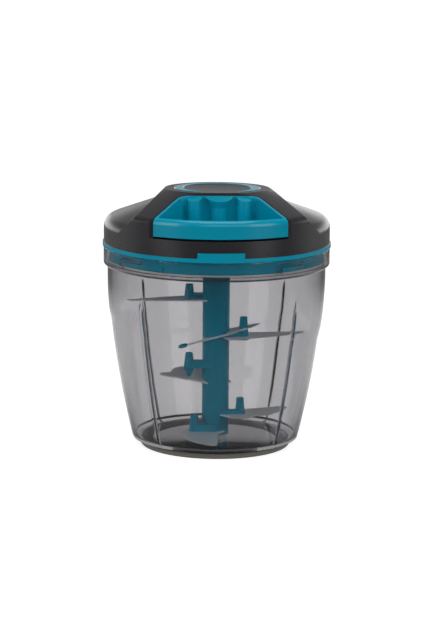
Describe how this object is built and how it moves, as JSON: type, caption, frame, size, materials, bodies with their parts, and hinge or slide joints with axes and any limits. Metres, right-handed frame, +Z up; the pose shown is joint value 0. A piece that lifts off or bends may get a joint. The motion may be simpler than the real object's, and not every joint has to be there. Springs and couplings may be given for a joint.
{
  "type": "pull-string food chopper",
  "caption": "Hand-pulled food chopper: clear barrel-shaped bowl, curved blades on an upright shaft, and a twist-on lid with a cord reel and a flush pull handle.",
  "frame": {"origin": "centre of the face that the chopper stands on, on the axis of bowl, shaft and reel", "axes": "+Z up along the axis; the handle is pulled towards -Y; +X is to the right of someone who faces the handle"},
  "size_m": [0.1384, 0.1384, 0.1587],
  "materials": {
    "clear_plastic": "clear, lightly tinted grey, polished",
    "ring_rubber": "soft moulded, matte",
    "seal_rubber": "soft moulded, satin",
    "teal_plastic": "moulded, satin to gloss",
    "charcoal_plastic": "moulded, fine satin texture",
    "white_plastic": "moulded, slippery acetal",
    "grey_plastic": "moulded, satin",
    "steel": "turned, plain",
    "blade_steel": "rolled, ground and polished",
    "spring_steel": "blued strip",
    "eyelet_metal": "polished",
    "cord": "braided"
  },
  "bodies": {
    "bowl": {"bowl": "clear_plastic", "base_ring": "ring_rubber", "pivot_pin": "steel"},
    "lid_seal": {"lid_seal": "seal_rubber"},
    "lid": {"lid_base": "teal_plastic", "top_cover": "charcoal_plastic", "crescent_inlay": "teal_plastic", "housing_screws": "steel", "cord_eyelet": "eyelet_metal", "return_spring": "spring_steel", "reel_axle": "steel", "drive_bush": "white_plastic", "cord_run": "cord"},
    "reel": {"cord_reel": "white_plastic", "cord_winding": "cord", "spring_cover": "white_plastic"},
    "pawl_left": {"pawl_left": "white_plastic"},
    "pawl_right": {"pawl_right": "white_plastic"},
    "drive_cup": {"drive_cup": "grey_plastic"},
    "handle": {"pull_handle": "teal_plastic", "handle_back": "teal_plastic", "handle_screws": "steel", "cord_end": "cord"},
    "blade_unit": {"blade_shaft": "teal_plastic", "blade_cap": "teal_plastic", "blade_top": "blade_steel", "blade_upper": "blade_steel", "blade_front": "blade_steel", "blade_rear": "blade_steel", "blade_lower": "blade_steel", "blade_bottom": "blade_steel"}
  },
  "joints": [
    {"name": "lid_lift", "type": "slide", "parent": "bowl", "child": "lid_seal", "axis": [0, 0, 1], "range_m": [0, 0.06]},
    {"name": "lid_twist", "type": "hinge", "parent": "lid_seal", "child": "lid", "pos_m": [0, 0, 0.124], "axis": [0, 0, 1], "range_deg": [-16, 0]},
    {"name": "handle_pull", "type": "slide", "parent": "lid", "child": "handle", "axis": [0, -1, 0], "range_m": [0, 0.45]},
    {"name": "reel_spin", "type": "hinge", "parent": "lid", "child": "reel", "pos_m": [0, 0, 0.144], "axis": [0, 0, 1], "range_deg": [-1300, 0]},
    {"name": "drive_spin", "type": "hinge", "parent": "lid", "child": "drive_cup", "pos_m": [0, 0, 0.12], "axis": [0, 0, 1], "range_deg": [-1300, 0]},
    {"name": "blade_spin", "type": "hinge", "parent": "bowl", "child": "blade_unit", "pos_m": [0, 0, 0.01], "axis": [0, 0, 1], "range_deg": [-1300, 0]},
    {"name": "pawl_left_swing", "type": "hinge", "parent": "reel", "child": "pawl_left", "pos_m": [-0.009, 0, 0.135], "axis": [0, 0, 1], "range_deg": [-14, 0]},
    {"name": "pawl_right_swing", "type": "hinge", "parent": "reel", "child": "pawl_right", "pos_m": [0.009, 0, 0.135], "axis": [0, 0, 1], "range_deg": [-14, 0]}
  ],
  "couplings": [
    {"joint": "reel_spin", "follows": "handle_pull", "rad_per_m": -50},
    {"joint": "drive_spin", "follows": "handle_pull", "rad_per_m": -50},
    {"joint": "blade_spin", "follows": "handle_pull", "rad_per_m": -50}
  ]
}
